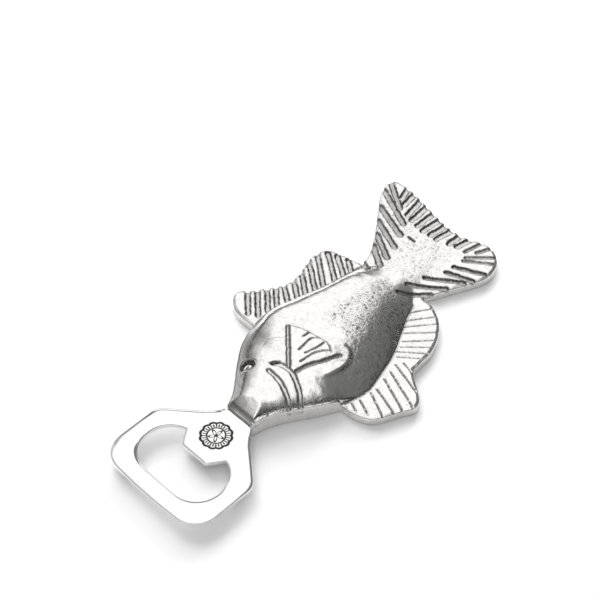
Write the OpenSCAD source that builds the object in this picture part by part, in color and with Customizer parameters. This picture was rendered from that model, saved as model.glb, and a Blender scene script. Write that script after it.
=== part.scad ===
// Souvenir bottle opener: a stamped stainless steel head whose tang is bonded
// and pinned into the mouth of a one-piece cast aluminium fish.
// Millimetres. +X runs from the ring to the tail, +Y is the dorsal side, +Z is up.
// The origin is the centre of the footprint, on the plane of the flat back.

/* [Opener head] */
// Thickness of the stainless plate
plate_t = 2; // [1.6:0.1:2.4]
// Height of the plate's underside above the flat back
plate_z = 3.5; // [3:0.1:4]
// Distance from the rim of the ring to the mouth of the fish
head_reach = 43; // [42:0.5:46]
// Width across the ring
ring_w = 47.5; // [46:0.5:52]
// Width of the rim opposite the tab
rim_w = 7; // [5:0.5:8]
// Width of the cap opening, which has to clear a 32.1 mm crown cap
hole_w = 34.6; // [33.5:0.1:36]
// Length of the cap opening at its two sides
hole_l = 20.5; // [19:0.5:21]
// How far the lifting tab reaches into the opening
tab_reach = 5.5; // [4:0.5:6.5]
// Width of the tab's lifting edge
tab_w = 11.4; // [9:0.2:13]
// Width of the tab at its root
tab_root_w = 19.2; // [17.2:0.4:20]
// Width of the neck where it meets the mouth
neck_w = 12.2; // [11.6:0.2:14]
// Depth of the etched emblem
emblem_depth = 0.15; // [0.1:0.05:0.3]
// Diameter of the etched emblem
emblem_d = 11.5; // [10:0.5:13]

/* [Tang and fixing] */
// Length of the tang inside the casting
tang_l = 26; // [22:1:30]
// Width of the tang
tang_w = 9.6; // [8:0.2:10]
// Adhesive gap on every side of the tang
glue_gap = 0.3; // [0.2:0.05:0.4]
// Diameter of the retaining pin
pin_d = 3; // [2:0.5:4]
// Length of the retaining pin, driven in from the back
pin_l = 8; // [7:0.5:8.5]
// Distance of the pin behind the mouth
pin_x = 13; // [10:1:16]
// Diameter of the key hole that the adhesive fills
key_d = 4; // [3:0.5:5]

/* [Fish casting] */
// Length of the fish from mouth to tail tips
fish_l = 123; // [118:1:128]
// Thickness of the fins and the tail
fin_t = 4; // [3.5:0.1:4.5]
// Height of the upright rim round the body
rim_h = 5.5; // [5:0.1:6]
// Width of the cast fin grooves
groove_w = 1.1; // [0.8:0.1:1.4]
// Depth of the cast fin grooves
groove_d = 0.8; // [0.4:0.1:1.2]
// Diameter of the eye socket
eye_d = 5.2; // [4.5:0.1:6]
// Height of the pectoral fin and the gill ridges above the body
relief_h = 0.6; // [0.3:0.1:0.8]

/* [Hidden] */

$fn = 48;
big = 200;

// Length that the fish's points below are drawn for, and the factor to the chosen length
drawn_l = 123;
fk = fish_l / drawn_l;
// The mouth's place along X, which centres the whole opener on the origin
mouth_x = (head_reach - fish_l) / 2;
// The head's centre line, which the mouth shares
head_y = -2.2 * fk;
rim_x = mouth_x - head_reach;
// Distance of the key hole from the tang's end, and of the emblem from the cap opening
key_back = 5;
emblem_back = 4.9;

// Fish points: X is measured back from the mouth, Y from the opener's axis.
// Body stations: [x, belly edge y, back edge y, crown height z]
body_stations = [
    [0, -8.3, 4.0, 10.2], [5, -9.2, 6.4, 10.9], [10, -11.2, 10.4, 11.4],
    [16, -14.6, 15.4, 11.9], [23, -19.0, 20.4, 12.2], [31, -22.6, 23.2, 12.4],
    [40, -24.4, 24.6, 12.4], [50, -22.4, 22.2, 12.1], [60, -19.0, 19.6, 11.1],
    [70, -13.8, 18.0, 9.2], [76, -11.0, 17.3, 7.6], [82, -9.0, 16.0, 6.0],
    [88, -7.4, 14.5, 4.9], [95, -5.0, 13.0, 4.2], [108, 1.0, 9.0, 3.4]
];
dorsal_edge = [
    [33, 21], [32.8, 30], [33.5, 34.6], [35.6, 38.2], [38.6, 40.6], [40.8, 40.4],
    [43.4, 38], [49, 34.4], [54.5, 31], [59, 30.3], [64.5, 31.5], [70, 33.2],
    [74.4, 33.4], [78.2, 31.4], [79.8, 27.4], [81, 22.5], [82, 15]
];
anal_edge = [
    [83.6, -6], [85, -12.4], [84.3, -15.5], [81.5, -20.5], [77, -24.5],
    [73, -26.8], [68.5, -28.4], [64, -28.8], [58, -28.6], [52, -21]
];
pelvic_edge = [
    [60, -20], [58.6, -28.6], [56, -31.8], [53, -36.2], [49.4, -40.2], [46, -40.9],
    [42.5, -39], [38, -37], [34.5, -35.4], [31.8, -33], [30.2, -29.5], [29.4, -26], [29, -20]
];
tail_edge = [
    [80, 12], [82.5, 17.6], [86, 18.8], [90, 20.8], [95, 23.9], [100.7, 28.2],
    [106, 32.2], [112, 36.9], [116.8, 39.1], [120.5, 39.7], [122.4, 38], [122.9, 31.6],
    [121.7, 25], [120.4, 18.8], [119, 12.6], [118, 6.6], [118.3, 1.8], [119.5, -2.3],
    [121, -6.7], [121.5, -10.4], [120, -14.4], [117.4, -17.2], [114.4, -18.7],
    [110.5, -19.4], [106, -18.5], [98.6, -15.2], [91.5, -12], [84, -8], [80, 0]
];
pectoral_edge = [
    [24.2, -2], [30.5, 4.4], [37.1, 10.9], [39.2, 7], [40.2, 3], [41.2, -1.5],
    [42.4, -5.4], [44.8, -8.6], [44.4, -12.2], [41, -14.8], [36, -15], [31, -13.8], [27.4, -10.6]
];
// Arcs of the two gill ridges: [centre x, centre y, radius]
gill_arcs = [[-1, 1, 20.5], [5, 0, 20]];
// The part of the cheek that the gill ridges cross: [low corner, size]
gill_window = [[10, -12.6], [20, 17]];
// Centre of the eye, the height of its socket's floor and the height of the ball's centre
eye_at = [15.6, 9.4];
eye_floor_z = 9.3;
eye_ball_z = 8.8;

// Groove rows: [first root, first tip, last root, last tip, number of grooves]
groove_rows = [
    [[35.6, 30.4], [42.6, 37.6], [49.6, 24], [53.8, 30.2], 5],
    [[52.6, 22], [57.8, 29.2], [66, 19.8], [75, 32], 4],
    [[70.4, 19], [77.4, 30], [76.6, 18], [79.4, 22.6], 3],
    [[81, 13.4], [84.6, 17.6], [107.6, 20.6], [115.6, 36.6], 6],
    [[115.8, 30], [122, 31.2], [110.4, 9.6], [117.6, 8.6], 7],
    [[111.2, 5.8], [117.4, 4.8], [115.6, -9], [120.8, -11.2], 5],
    [[110.6, -8], [116, -17.2], [103.8, -7.2], [104.6, -16.8], 4],
    [[93.4, -4], [99.4, -14], [80.6, -2.6], [87.6, -10.8], 3],
    [[77, -11], [82.6, -15], [58.6, -21.4], [63.4, -27.4], 8],
    [[57.6, -24.4], [55.6, -32], [32.6, -24.6], [31.2, -28.6], 8]
];

// One point of a Catmull-Rom curve between b and c, at t from 0 to 1
function curve_point(a, b, c, d, t) =
    0.5 * (2 * b + (c - a) * t + (2 * a - 5 * b + 4 * c - d) * t * t
        + (3 * b - a - 3 * c + d) * t * t * t);

// An open Catmull-Rom curve through points p, with n steps between neighbours
function curve(p, n) = [
    for (i = [0 : len(p) - 2])
        for (k = [0 : n - 1])
            curve_point(p[max(i - 1, 0)], p[i], p[i + 1], p[min(i + 2, len(p) - 1)], k / n),
    p[len(p) - 1]
];

// An arc of radius v[2] that rounds the corner v between the corners a and b
function corner(a, v, b, n = 8) =
    let (
        pa = [a[0] - v[0], a[1] - v[1]],
        pb = [b[0] - v[0], b[1] - v[1]],
        ua = pa / norm(pa),
        ub = pb / norm(pb),
        half = acos(max(-1, min(1, ua * ub))) / 2,
        mid = (ua + ub) / norm(ua + ub),
        centre = [v[0], v[1]] + mid * v[2] / sin(half),
        foot = v[2] / tan(half),
        s = [v[0], v[1]] + ua * foot - centre,
        e = [v[0], v[1]] + ub * foot - centre,
        turn = atan2(s[0] * e[1] - s[1] * e[0], s * e)
    )
    [for (k = [0 : n])
        let (w = turn * k / n)
        centre + [s[0] * cos(w) - s[1] * sin(w), s[0] * sin(w) + s[1] * cos(w)]];

// A closed outline of corners [x, y, radius]; a radius of 0 keeps the corner sharp
function rounded(p) = [
    for (i = [0 : len(p) - 1])
        let (a = p[(i + len(p) - 1) % len(p)], v = p[i], b = p[(i + 1) % len(p)])
        each v[2] == 0 ? [[v[0], v[1]]] : corner(a, v, b)
];

// The lower half of an outline that is symmetric about Y = 0, then its mirror image
function both_sides(p) = concat(
    [for (q = p) [q[0], -q[1], q[2]]],
    [for (i = [len(p) - 1 : -1 : 0]) p[i]]
);

// Outline of the plate, measured from the far rim of the ring along X
module plate_outline() {
    half = ring_w / 2;
    shoulder_x = head_reach - (half - neck_w / 2) * 0.91;
    polygon(rounded(both_sides([
        [0, 5, 40],
        [0.9, half, 10],
        [shoulder_x, half, 6],
        [head_reach - 5.5, neck_w / 2 + 4.9, 12],
        [head_reach, neck_w / 2, 0],
        [head_reach, tang_w / 2, 0],
        [head_reach + tang_l, tang_w / 2, 2]
    ])));
}

// The cap opening, a round-cornered window with the lifting tab left standing in it
module cap_opening() {
    difference() {
        polygon(rounded(both_sides([
            [rim_w, hole_w / 2, 9.8],
            [rim_w + hole_l, hole_w / 2, 9.6]
        ])));
        polygon(both_sides_flat([
            [rim_w + hole_l - tab_reach, tab_w / 2],
            [rim_w + hole_l, tab_root_w / 2],
            [rim_w + hole_l + 2, tab_root_w / 2]
        ]));
    }
}

// The same mirroring for plain corners [x, y]
function both_sides_flat(p) = concat(
    [for (q = p) [q[0], -q[1]]],
    [for (i = [len(p) - 1 : -1 : 0]) p[i]]
);

// The etched emblem: a plain scalloped ring round a disc with five petals left standing
module emblem_cut() {
    scallops = 12;
    scallop_d = 1.1;
    ring_inner_d = emblem_d - 2.6;
    disc_d = emblem_d * 0.55;
    petals = 5;
    petal_d = emblem_d * 0.15;
    petal_r = emblem_d * 0.13;
    difference() {
        circle(d = emblem_d);
        for (i = [0 : scallops - 1])
            rotate(i * 360 / scallops)
                translate([emblem_d / 2 + scallop_d / 4, 0])
                circle(d = scallop_d, $fn = 16);
        circle(d = ring_inner_d);
    }
    difference() {
        circle(d = disc_d);
        for (i = [0 : petals - 1])
            rotate(i * 360 / petals) translate([petal_r, 0]) circle(d = petal_d, $fn = 24);
    }
}

module opener_head() {
    color([0.80, 0.81, 0.83])
    translate([rim_x, head_y, plate_z])
    difference() {
        linear_extrude(plate_t) plate_outline();
        translate([0, 0, -1]) linear_extrude(plate_t + 2) cap_opening();
        translate([head_reach + pin_x, 0, -1]) cylinder(d = pin_d, h = plate_t + 2);
        translate([head_reach + tang_l - key_back, 0, -1]) cylinder(d = key_d, h = plate_t + 2);
        translate([rim_w + hole_l + emblem_back, 0, plate_t - emblem_depth])
            linear_extrude(1) emblem_cut();
    }
}

// The slot in the mouth: the tang with the adhesive gap on every side
module tang_slot(lead) {
    w = tang_w + 2 * glue_gap;
    translate([mouth_x - lead, head_y - w / 2, plate_z - glue_gap])
        cube([tang_l + glue_gap + lead, w, plate_t + 2 * glue_gap]);
}

// The pin's shaft, from the flat back to its blind end
module pin_shaft(lead) {
    translate([mouth_x + pin_x, head_y, -lead]) cylinder(d = pin_d, h = pin_l + lead);
}

// Body cross-section at one station, from the belly side's foot over the crown
function section(s) =
    let (
        steps = 14,
        mid = (s[1] + s[2]) / 2,
        half = (s[2] - s[1]) / 2,
        wall = min(rim_h, s[3] - 0.4)
    )
    concat(
        [[s[0], s[1], 0]],
        [for (k = [0 : steps])
            let (t = -cos(180 * k / steps))
            [s[0], mid + half * t, wall + (s[3] - wall) * pow(max(0, 1 - pow(abs(t), 2.3)), 0.6)]],
        [[s[0], s[2], 0]]
    );

// The crowned body, lofted through its stations, with its crown raised by lift
module body_loft(lift = 0) {
    rings = [for (s = curve(body_stations, 3)) section([s[0], s[1], s[2], s[3] + lift])];
    n = len(rings[0]);
    m = len(rings);
    sides = [
        for (i = [0 : m - 2])
            for (j = [0 : n - 1])
                let (a = i * n + j, b = i * n + (j + 1) % n, c = a + n, d = b + n)
                each [[a, b, d], [a, d, c]]
    ];
    front = [for (j = [1 : n - 2]) [0, j + 1, j]];
    rear = [for (j = [1 : n - 2]) [(m - 1) * n, (m - 1) * n + j, (m - 1) * n + j + 1]];
    polyhedron(points = [for (r = rings) each r], faces = concat(sides, front, rear));
}

// One straight cast groove from root a to tip b, in the upper face of a fin
module groove(a, b) {
    d = b - a;
    translate([a[0], a[1], fin_t - groove_d])
        rotate([0, 0, atan2(d[1], d[0])])
        translate([0, -groove_w / 2, 0])
        cube([norm(d), groove_w, 2]);
}

module grooves(rows) {
    for (r = rows)
        for (k = [0 : r[4] - 1])
            let (t = k / (r[4] - 1))
            groove(r[0] + (r[2] - r[0]) * t, r[1] + (r[3] - r[1]) * t);
}

// A flat fin: the curve through its edge points, closed inside the body
module fin(edge, rows) {
    difference() {
        linear_extrude(fin_t) polygon(curve(edge, 4));
        grooves(rows);
    }
}

// Relief that follows the crown: the raised body inside an outline drawn by the children
module relief() {
    intersection() {
        body_loft(relief_h);
        translate([0, 0, rim_h + 1]) linear_extrude(big) children();
    }
}

// The disc inside an arc [centre x, centre y, radius], with its radius grown
module disc(a, grow) {
    translate([a[0], a[1]]) circle(r = a[2] + grow, $fn = 96);
}

// Two curved ridges behind the cheek, along the gill arcs
module gill_ridges() {
    edge_w = 1.1;
    intersection() {
        translate(gill_window[0]) square(gill_window[1]);
        union() {
            difference() {
                disc(gill_arcs[1], 0);
                disc(gill_arcs[1], -edge_w);
            }
            difference() {
                disc(gill_arcs[0], edge_w);
                disc(gill_arcs[0], 0);
            }
        }
    }
}

module eye_socket() {
    translate([eye_at[0], eye_at[1], eye_floor_z]) cylinder(d = eye_d, h = 10);
}

module eye_ball() {
    translate([eye_at[0], eye_at[1], eye_ball_z]) sphere(d = eye_d * 0.62, $fn = 32);
}

module fish_solid() {
    fin(dorsal_edge, [groove_rows[0], groove_rows[1], groove_rows[2]]);
    fin(tail_edge, [for (i = [3 : 7]) groove_rows[i]]);
    fin(anal_edge, [groove_rows[8]]);
    fin(pelvic_edge, [groove_rows[9]]);
    difference() {
        body_loft();
        eye_socket();
    }
    eye_ball();
    relief() polygon(curve(pectoral_edge, 3));
    relief() gill_ridges();
}

module fish_handle() {
    facet_z = 8;
    facet_tilt = 38;
    color([0.72, 0.72, 0.72])
    difference() {
        translate([mouth_x, 0, 0]) scale(fk) fish_solid();
        tang_slot(1);
        pin_shaft(1);
        // the ground facet above the lip
        translate([mouth_x + 0.8, -big / 2, facet_z])
            rotate([0, -facet_tilt, 0])
            translate([-20, 0, 0])
            cube([40, big, 20]);
    }
}

module retaining_pin() {
    color([0.62, 0.63, 0.65]) pin_shaft(0);
}

// Adhesive that fills the slot round the tang and keys through its rear hole
module epoxy_bed() {
    set_back = 0.8;
    color([0.45, 0.44, 0.40])
    difference() {
        intersection() {
            tang_slot(0);
            translate([mouth_x + set_back, -big / 2, 0]) cube([tang_l + 1, big, 20]);
        }
        opener_head();
        pin_shaft(1);
    }
}

opener_head();
fish_handle();
retaining_pin();
epoxy_bed();
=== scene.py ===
"""Souvenir bottle opener: a polished steel head set in the mouth of a cast aluminium fish.

Everything is worked out in millimetres and handed to Blender in metres, in the CAD frame:
+X runs from the ring to the tail, +Y is the dorsal side, +Z is up from the flat back.
Points of the fish are measured from its mouth along X and from the opener's axis along Y.
"""
import math

import bmesh
import bpy
import numpy as np
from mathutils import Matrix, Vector
from mathutils.geometry import delaunay_2d_cdt
from mathutils.kdtree import KDTree


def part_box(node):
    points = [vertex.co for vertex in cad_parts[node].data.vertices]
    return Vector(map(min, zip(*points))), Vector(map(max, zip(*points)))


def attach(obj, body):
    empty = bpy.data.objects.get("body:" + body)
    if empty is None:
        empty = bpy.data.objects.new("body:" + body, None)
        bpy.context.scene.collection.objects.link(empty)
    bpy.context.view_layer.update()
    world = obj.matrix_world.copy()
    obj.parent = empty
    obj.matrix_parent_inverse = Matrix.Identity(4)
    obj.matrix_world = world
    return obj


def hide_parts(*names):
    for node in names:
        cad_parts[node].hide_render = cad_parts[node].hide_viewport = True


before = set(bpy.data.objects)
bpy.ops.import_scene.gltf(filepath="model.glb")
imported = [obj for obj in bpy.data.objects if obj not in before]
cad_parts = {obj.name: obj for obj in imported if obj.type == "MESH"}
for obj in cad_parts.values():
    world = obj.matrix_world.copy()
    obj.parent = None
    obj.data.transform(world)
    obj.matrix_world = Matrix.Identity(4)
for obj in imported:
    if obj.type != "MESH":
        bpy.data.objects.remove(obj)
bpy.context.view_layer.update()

MM = 0.001
BATCH = 4000             # points measured at a time, to save memory
CIRCLE_POINTS = 48
ROUND_STEPS = 5          # rows of faces in each rounding, and down each wall between them
SHARP = 50               # edges sharper than this many degrees stay crisp


def box_mm(node):
    """Lowest and highest corner of a CAD node, in millimetres."""
    lo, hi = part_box(node)
    return np.array(lo) / MM, np.array(hi) / MM


HEAD_LO, HEAD_HI = box_mm("opener_head")
FISH_LO, FISH_HI = box_mm("fish_handle")
PIN_LO, PIN_HI = box_mm("retaining_pin")

MOUTH_X = FISH_LO[0]                        # the mouth, from which the fish is measured
RIM_X = HEAD_LO[0]                          # the far rim of the ring
HEAD_Y = (HEAD_LO[1] + HEAD_HI[1]) / 2      # the head's centre line
PLATE_LOW, PLATE_TOP = HEAD_LO[2], HEAD_HI[2]
REACH = MOUTH_X - RIM_X                     # from the rim to the mouth

# ---------------------------------------------------------------- outlines in the plane


def curve(points, steps):
    """An open Catmull-Rom curve through the points, with that many steps between neighbours."""
    p = np.array(points, float)
    t = (np.arange(steps) / steps)[:, None]
    out = []
    for i in range(len(p) - 1):
        a, b, c, d = p[max(i - 1, 0)], p[i], p[i + 1], p[min(i + 2, len(p) - 1)]
        out.append(0.5 * (2 * b + (c - a) * t + (2 * a - 5 * b + 4 * c - d) * t ** 2
                          + (3 * b - a - 3 * c + d) * t ** 3))
    return np.vstack(out + [p[-1:]])


def rounded(corners, steps=14):
    """A closed outline of corners (x, y, radius), each turned into an arc."""
    out = []
    for i, (x, y, radius) in enumerate(corners):
        v = np.array([x, y], float)
        ua, ub = (np.array(corners[(i + k) % len(corners)][:2], float) - v for k in (-1, 1))
        ua, ub = ua / np.linalg.norm(ua), ub / np.linalg.norm(ub)
        half = math.acos(float(np.clip(ua @ ub, -1, 1))) / 2
        centre = v + (ua + ub) / np.linalg.norm(ua + ub) * radius / math.sin(half)
        s, e = (v + u * radius / math.tan(half) - centre for u in (ua, ub))
        turn = math.atan2(s[0] * e[1] - s[1] * e[0], s @ e)
        for w in np.linspace(0, turn, steps):
            out.append(centre + [s[0] * math.cos(w) - s[1] * math.sin(w),
                                 s[0] * math.sin(w) + s[1] * math.cos(w)])
    return np.array(out)


def both_sides(corners):
    """The corners on one side, mirrored across Y = 0 into a closed counter-clockwise outline."""
    return [(x, -y, *r) for x, y, *r in corners] + list(reversed(corners))


def circle(centre, radius):
    w = np.linspace(0, 2 * math.pi, CIRCLE_POINTS, endpoint=False)
    return np.array(centre) + radius * np.c_[np.cos(w), np.sin(w)]


def resample(loop, step):
    """The same closed loop with its points an even step apart."""
    closed = np.vstack([loop, loop[:1]])
    along = np.r_[0, np.cumsum(np.linalg.norm(np.diff(closed, axis=0), axis=1))]
    count = max(8, round(along[-1] / step))
    s = np.linspace(0, along[-1], count, endpoint=False)
    return np.c_[np.interp(s, along, closed[:, 0]), np.interp(s, along, closed[:, 1])]


def smoothed(loop, passes):
    for _ in range(passes):
        loop = (np.roll(loop, 1, 0) + 2 * loop + np.roll(loop, -1, 0)) / 4
    return loop


def area(loop):
    nxt = np.roll(loop, -1, 0)
    return (loop[:, 0] * nxt[:, 1] - nxt[:, 0] * loop[:, 1]).sum() / 2


def outward(loop):
    """Unit normals that point out of a counter-clockwise loop."""
    t = np.roll(loop, -1, 0) - np.roll(loop, 1, 0)
    n = np.c_[t[:, 1], -t[:, 0]]
    return n / np.linalg.norm(n, axis=1)[:, None]


def moved_out(loop, distance, step):
    """A counter-clockwise loop moved outwards, with no crossings where a corner is tight."""
    loop = resample(loop, step)
    tree = KDTree(len(loop))
    for i, q in enumerate(loop):
        tree.insert((q[0], q[1], 0), i)
    tree.balance()
    new = loop + outward(loop) * distance
    tol = 0.02 + 0.02 * abs(distance)
    keep = [tree.find((q[0], q[1], 0))[2] > abs(distance) - tol for q in new]
    return resample(new[keep], step)


def inside(points, loop):
    """True for each point inside a closed loop."""
    x, y = points[:, :1], points[:, 1:2]
    a, b = loop, np.roll(loop, -1, 0)
    out = np.zeros(len(points), bool)
    for i in range(0, len(points), BATCH):
        xs, ys = x[i:i + BATCH], y[i:i + BATCH]
        crosses = (a[:, 1] > ys) != (b[:, 1] > ys)
        rise = np.where(b[:, 1] == a[:, 1], 1, b[:, 1] - a[:, 1])
        at = a[:, 0] + (ys - a[:, 1]) * (b[:, 0] - a[:, 0]) / rise
        out[i:i + BATCH] = (crosses & (xs < at)).sum(1) % 2 == 1
    return out


def loop_distance(points, loop):
    """Distance from each point to the nearest of a loop's points."""
    out = np.empty(len(points))
    for i in range(0, len(points), BATCH):
        d = points[i:i + BATCH, None] - loop[None]
        out[i:i + BATCH] = np.sqrt((d ** 2).sum(2).min(1))
    return out


def path_distance(points, path):
    """Distance from each point to a polyline."""
    path = np.array(path, float)
    best = np.full(len(points), 1e9)
    for a, b in zip(path[:-1], path[1:]):
        d = b - a
        t = np.clip(((points - a) @ d) / (d @ d), 0, 1)
        best = np.minimum(best, np.linalg.norm(points - a - t[:, None] * d, axis=1))
    return best


def lattice(lo, hi, step):
    """Points of an even triangular lattice over a rectangle."""
    rows = np.arange(lo[1], hi[1], step * math.sqrt(0.75))
    firsts = [lo[0] + (k % 2) * step / 2 for k in range(len(rows))]
    return np.vstack([[(x, y) for x in np.arange(first, hi[0], step)]
                      for first, y in zip(firsts, rows)])


def union_outline(outlines):
    """The outer boundary of overlapping closed outlines, counter-clockwise."""
    verts, lines = [], []
    for o in outlines:
        lines += [(len(verts) + k, len(verts) + (k + 1) % len(o)) for k in range(len(o))]
        verts += [Vector(q) for q in o]
    v, _, tris, *_ = delaunay_2d_cdt(verts, lines, [], 0, 1e-5, False)
    middle = np.array(v)[np.array(tris)].mean(1)
    covered = np.any([inside(middle, o) for o in outlines], axis=0)
    tris = [t for t, c in zip(tris, covered) if c]
    edges = {(t[k], t[(k + 1) % 3]) for t in tris for k in range(3)}
    after = {a: b for a, b in edges if (b, a) not in edges}
    loops = []
    while after:
        start, nxt = next(iter(after.items()))
        loop = [start]
        while nxt != start and nxt in after:
            loop.append(nxt)
            nxt = after.pop(nxt)
        after.pop(start, None)
        loops.append(np.array([v[i] for i in loop]))
    return max(loops, key=lambda q: abs(area(q)))


# ---------------------------------------------------------------- numbers over the surface


def ramp(low, high, value):
    """0 at low, 1 at high, with a smooth rise between."""
    t = np.clip((value - low) / (high - low), 0, 1)
    return t * t * (3 - 2 * t)


def bell(value, width):
    return np.exp(-(value / width) ** 2)


def noise(points, size, seed):
    """Smooth random numbers from -1 to 1, with features about that many millimetres across."""
    table = np.random.default_rng(seed).uniform(-1, 1, (256, 256))
    q = points / size
    cell = np.floor(q).astype(int)
    f = q - cell
    f = f * f * (3 - 2 * f)
    corner = [table[(cell[:, 0] + i) % 256, (cell[:, 1] + j) % 256]
              for i in (0, 1) for j in (0, 1)]
    low = corner[0] + (corner[1] - corner[0]) * f[:, 1]
    high = corner[2] + (corner[3] - corner[2]) * f[:, 1]
    return low + (high - low) * f[:, 0]


# ---------------------------------------------------------------- meshes


class Builder:
    """Collects vertices and faces, in millimetres, and makes one Blender object of them."""

    def __init__(self):
        self.points, self.faces, self.origin = [], [], (0, 0, 0)

    def add(self, points):
        """Adds points and returns their indices."""
        first = len(self.points)
        self.points += [tuple(p) for p in points]
        return list(range(first, len(self.points)))

    def band(self, upper, lower):
        """Joins two closed rings of the same number of points."""
        n = len(upper)
        for i in range(n):
            j = (i + 1) % n
            self.faces.append((upper[i], lower[i], lower[j], upper[j]))

    def sheet(self, loops, inner, height, up):
        """Fills the first loop, leaves the others open, and returns each loop's vertex indices."""
        flat = [Vector(q) for loop in loops for q in loop] + [Vector(q) for q in inner]
        starts = np.cumsum([0] + [len(q) for q in loops])
        edges = [(s + k, s + (k + 1) % len(q)) for s, q in zip(starts, loops)
                 for k in range(len(q))]
        v, _, tris, ids, _, _ = delaunay_2d_cdt(flat, edges, [], 0, 1e-6, True)
        v, tris = np.array(v), np.array(tris)
        tris = tris[inside(v[tris].mean(1), loops[0])]
        for hole in loops[1:]:
            tris = tris[~inside(v[tris].mean(1), hole)]
        where = self.add(np.c_[v, height(v)])
        self.faces += [tuple(where[i] for i in (t if up else t[::-1])) for t in tris.tolist()]
        back = {i: k for k, group in enumerate(ids) for i in group}
        return [[where[back[s + k]] for k in range(len(q))] for s, q in zip(starts, loops)]

    def finish(self, name, material, sharp=SHARP):
        mesh = bpy.data.meshes.new(name)
        placed = (np.array(self.points) + self.origin) * MM
        mesh.from_pydata(placed.tolist(), [], self.faces)
        bm = bmesh.new()
        bm.from_mesh(mesh)
        loose = [v for v in bm.verts if not v.link_faces]
        bmesh.ops.delete(bm, geom=loose, context="VERTS")
        bmesh.ops.remove_doubles(bm, verts=bm.verts, dist=1e-7)
        bmesh.ops.recalc_face_normals(bm, faces=bm.faces)
        bm.to_mesh(mesh)
        bm.free()
        piece = bpy.data.objects.new(name, mesh)
        bpy.context.scene.collection.objects.link(piece)
        mesh.materials.append(material)
        shade(mesh, sharp)
        return piece


def shade(mesh, sharp):
    """Smooth shading, broken at edges sharper than that many degrees."""
    bm = bmesh.new()
    bm.from_mesh(mesh)
    for f in bm.faces:
        f.smooth = True
    for e in bm.edges:
        e.smooth = len(e.link_faces) == 2 and e.calc_face_angle(0) < math.radians(sharp)
    bm.to_mesh(mesh)
    bm.free()


def rim(build, loop, ring, top, low, radius_top, radius_low, wobble=None):
    """Rounds the top edge, drops the wall and rounds the low edge. Returns the low ring and loop.

    The loop is the flat part's boundary, its outward side is away from the material."""
    out = outward(loop)
    if area(loop) < 0:
        out = -outward(loop[::-1])[::-1]
    steps = range(1, ROUND_STEPS + 1)
    arc = [math.pi / 2 * k / ROUND_STEPS for k in steps]
    start = top - radius_top
    rings = [(radius_top * math.sin(w), top - radius_top * (1 - math.cos(w))) for w in arc]
    rings += [(radius_top, start + (low + radius_low - start) * k / ROUND_STEPS) for k in steps]
    rings += [(radius_top - radius_low * (1 - math.cos(w)),
               low + radius_low * (1 - math.sin(w)) + 0 * start) for w in arc]
    for grow, z in rings:
        shift = 0 if wobble is None else wobble(loop, z)
        new = build.add(np.c_[loop + out * (grow + shift + 0 * z)[:, None], z])
        build.band(ring, new)
        ring = new
    return ring, loop + out * (radius_top - radius_low)


# ---------------------------------------------------------------- the fish's outline and relief

EDGE_R = 0.55            # rounding of the casting's upper edge
WORN_W, WORN_ANGLE = 0.55, 24    # the edge's worn slope, in from that rounding
FOOT_R = 0.35            # rounding of its lower edge
FILLET = 0.9             # inside corners where two fins meet
FIN_TOP = 4.0            # height of the fins
WALL_TOP = 5.5           # height of the upright wall where the body has no fin

# Body stations: (x, belly edge y, back edge y, crown height)
BODY = [
    (0, -8.3, 4, 10.2), (5, -9.2, 6.4, 10.9), (10, -11.2, 10.4, 11.4), (16, -14.6, 15.4, 11.9),
    (23, -19, 20.4, 12.2), (31, -22.6, 23.2, 12.4), (40, -24.4, 24.6, 12.4),
    (50, -22.4, 22.2, 12.1), (60, -19, 19.6, 11.1), (70, -13.8, 18, 9.2), (76, -11, 17.3, 7.6),
    (82, -9, 16, 6), (88, -7.4, 14.5, 4.9), (95, -5, 13, 4.2), (108, 1, 9, 3.4),
]
DORSAL = [
    (33, 21), (32.8, 30), (33.5, 34.6), (35.6, 38.2), (38.6, 40.6), (40.8, 40.4), (43.4, 38),
    (49, 34.4), (54.5, 31), (59, 30.3), (64.5, 31.5), (70, 33.2), (74.4, 33.4), (78.2, 31.4),
    (79.8, 27.4), (81, 22.5), (82, 15),
]
ANAL = [
    (83.6, -6), (85, -12.4), (84.3, -15.5), (81.5, -20.5), (77, -24.5), (73, -26.8),
    (68.5, -28.4), (64, -28.8), (58, -28.6), (52, -21),
]
PELVIC = [
    (60, -20), (58.6, -28.6), (56, -31.8), (53, -36.2), (49.4, -40.2), (46, -40.9),
    (42.5, -39), (38, -37), (34.5, -35.4), (31.8, -33), (30.2, -29.5), (29.4, -26), (29, -20),
]
TAIL = [
    (80, 12), (82.5, 17.6), (86, 18.8), (90, 20.8), (95, 23.9), (100.7, 28.2), (106, 32.2),
    (112, 36.9), (116.8, 39.1), (120.5, 39.7), (122.4, 38), (122.9, 31.6), (121.7, 25),
    (120.4, 18.8), (119, 12.6), (118, 6.6), (118.3, 1.8), (119.5, -2.3), (121, -6.7),
    (121.5, -10.4), (120, -14.4), (117.4, -17.2), (114.4, -18.7), (110.5, -19.4),
    (106, -18.5), (98.6, -15.2), (91.5, -12), (84, -8), (80, 0),
]
PECTORAL = [
    (24.2, -2), (30.5, 4.4), (37.1, 10.9), (39.2, 7), (40.2, 3), (41.2, -1.5), (42.4, -5.4),
    (44.8, -8.6), (44.4, -12.2), (41, -14.8), (36, -15), (31, -13.8), (27.4, -10.6),
]

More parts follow.
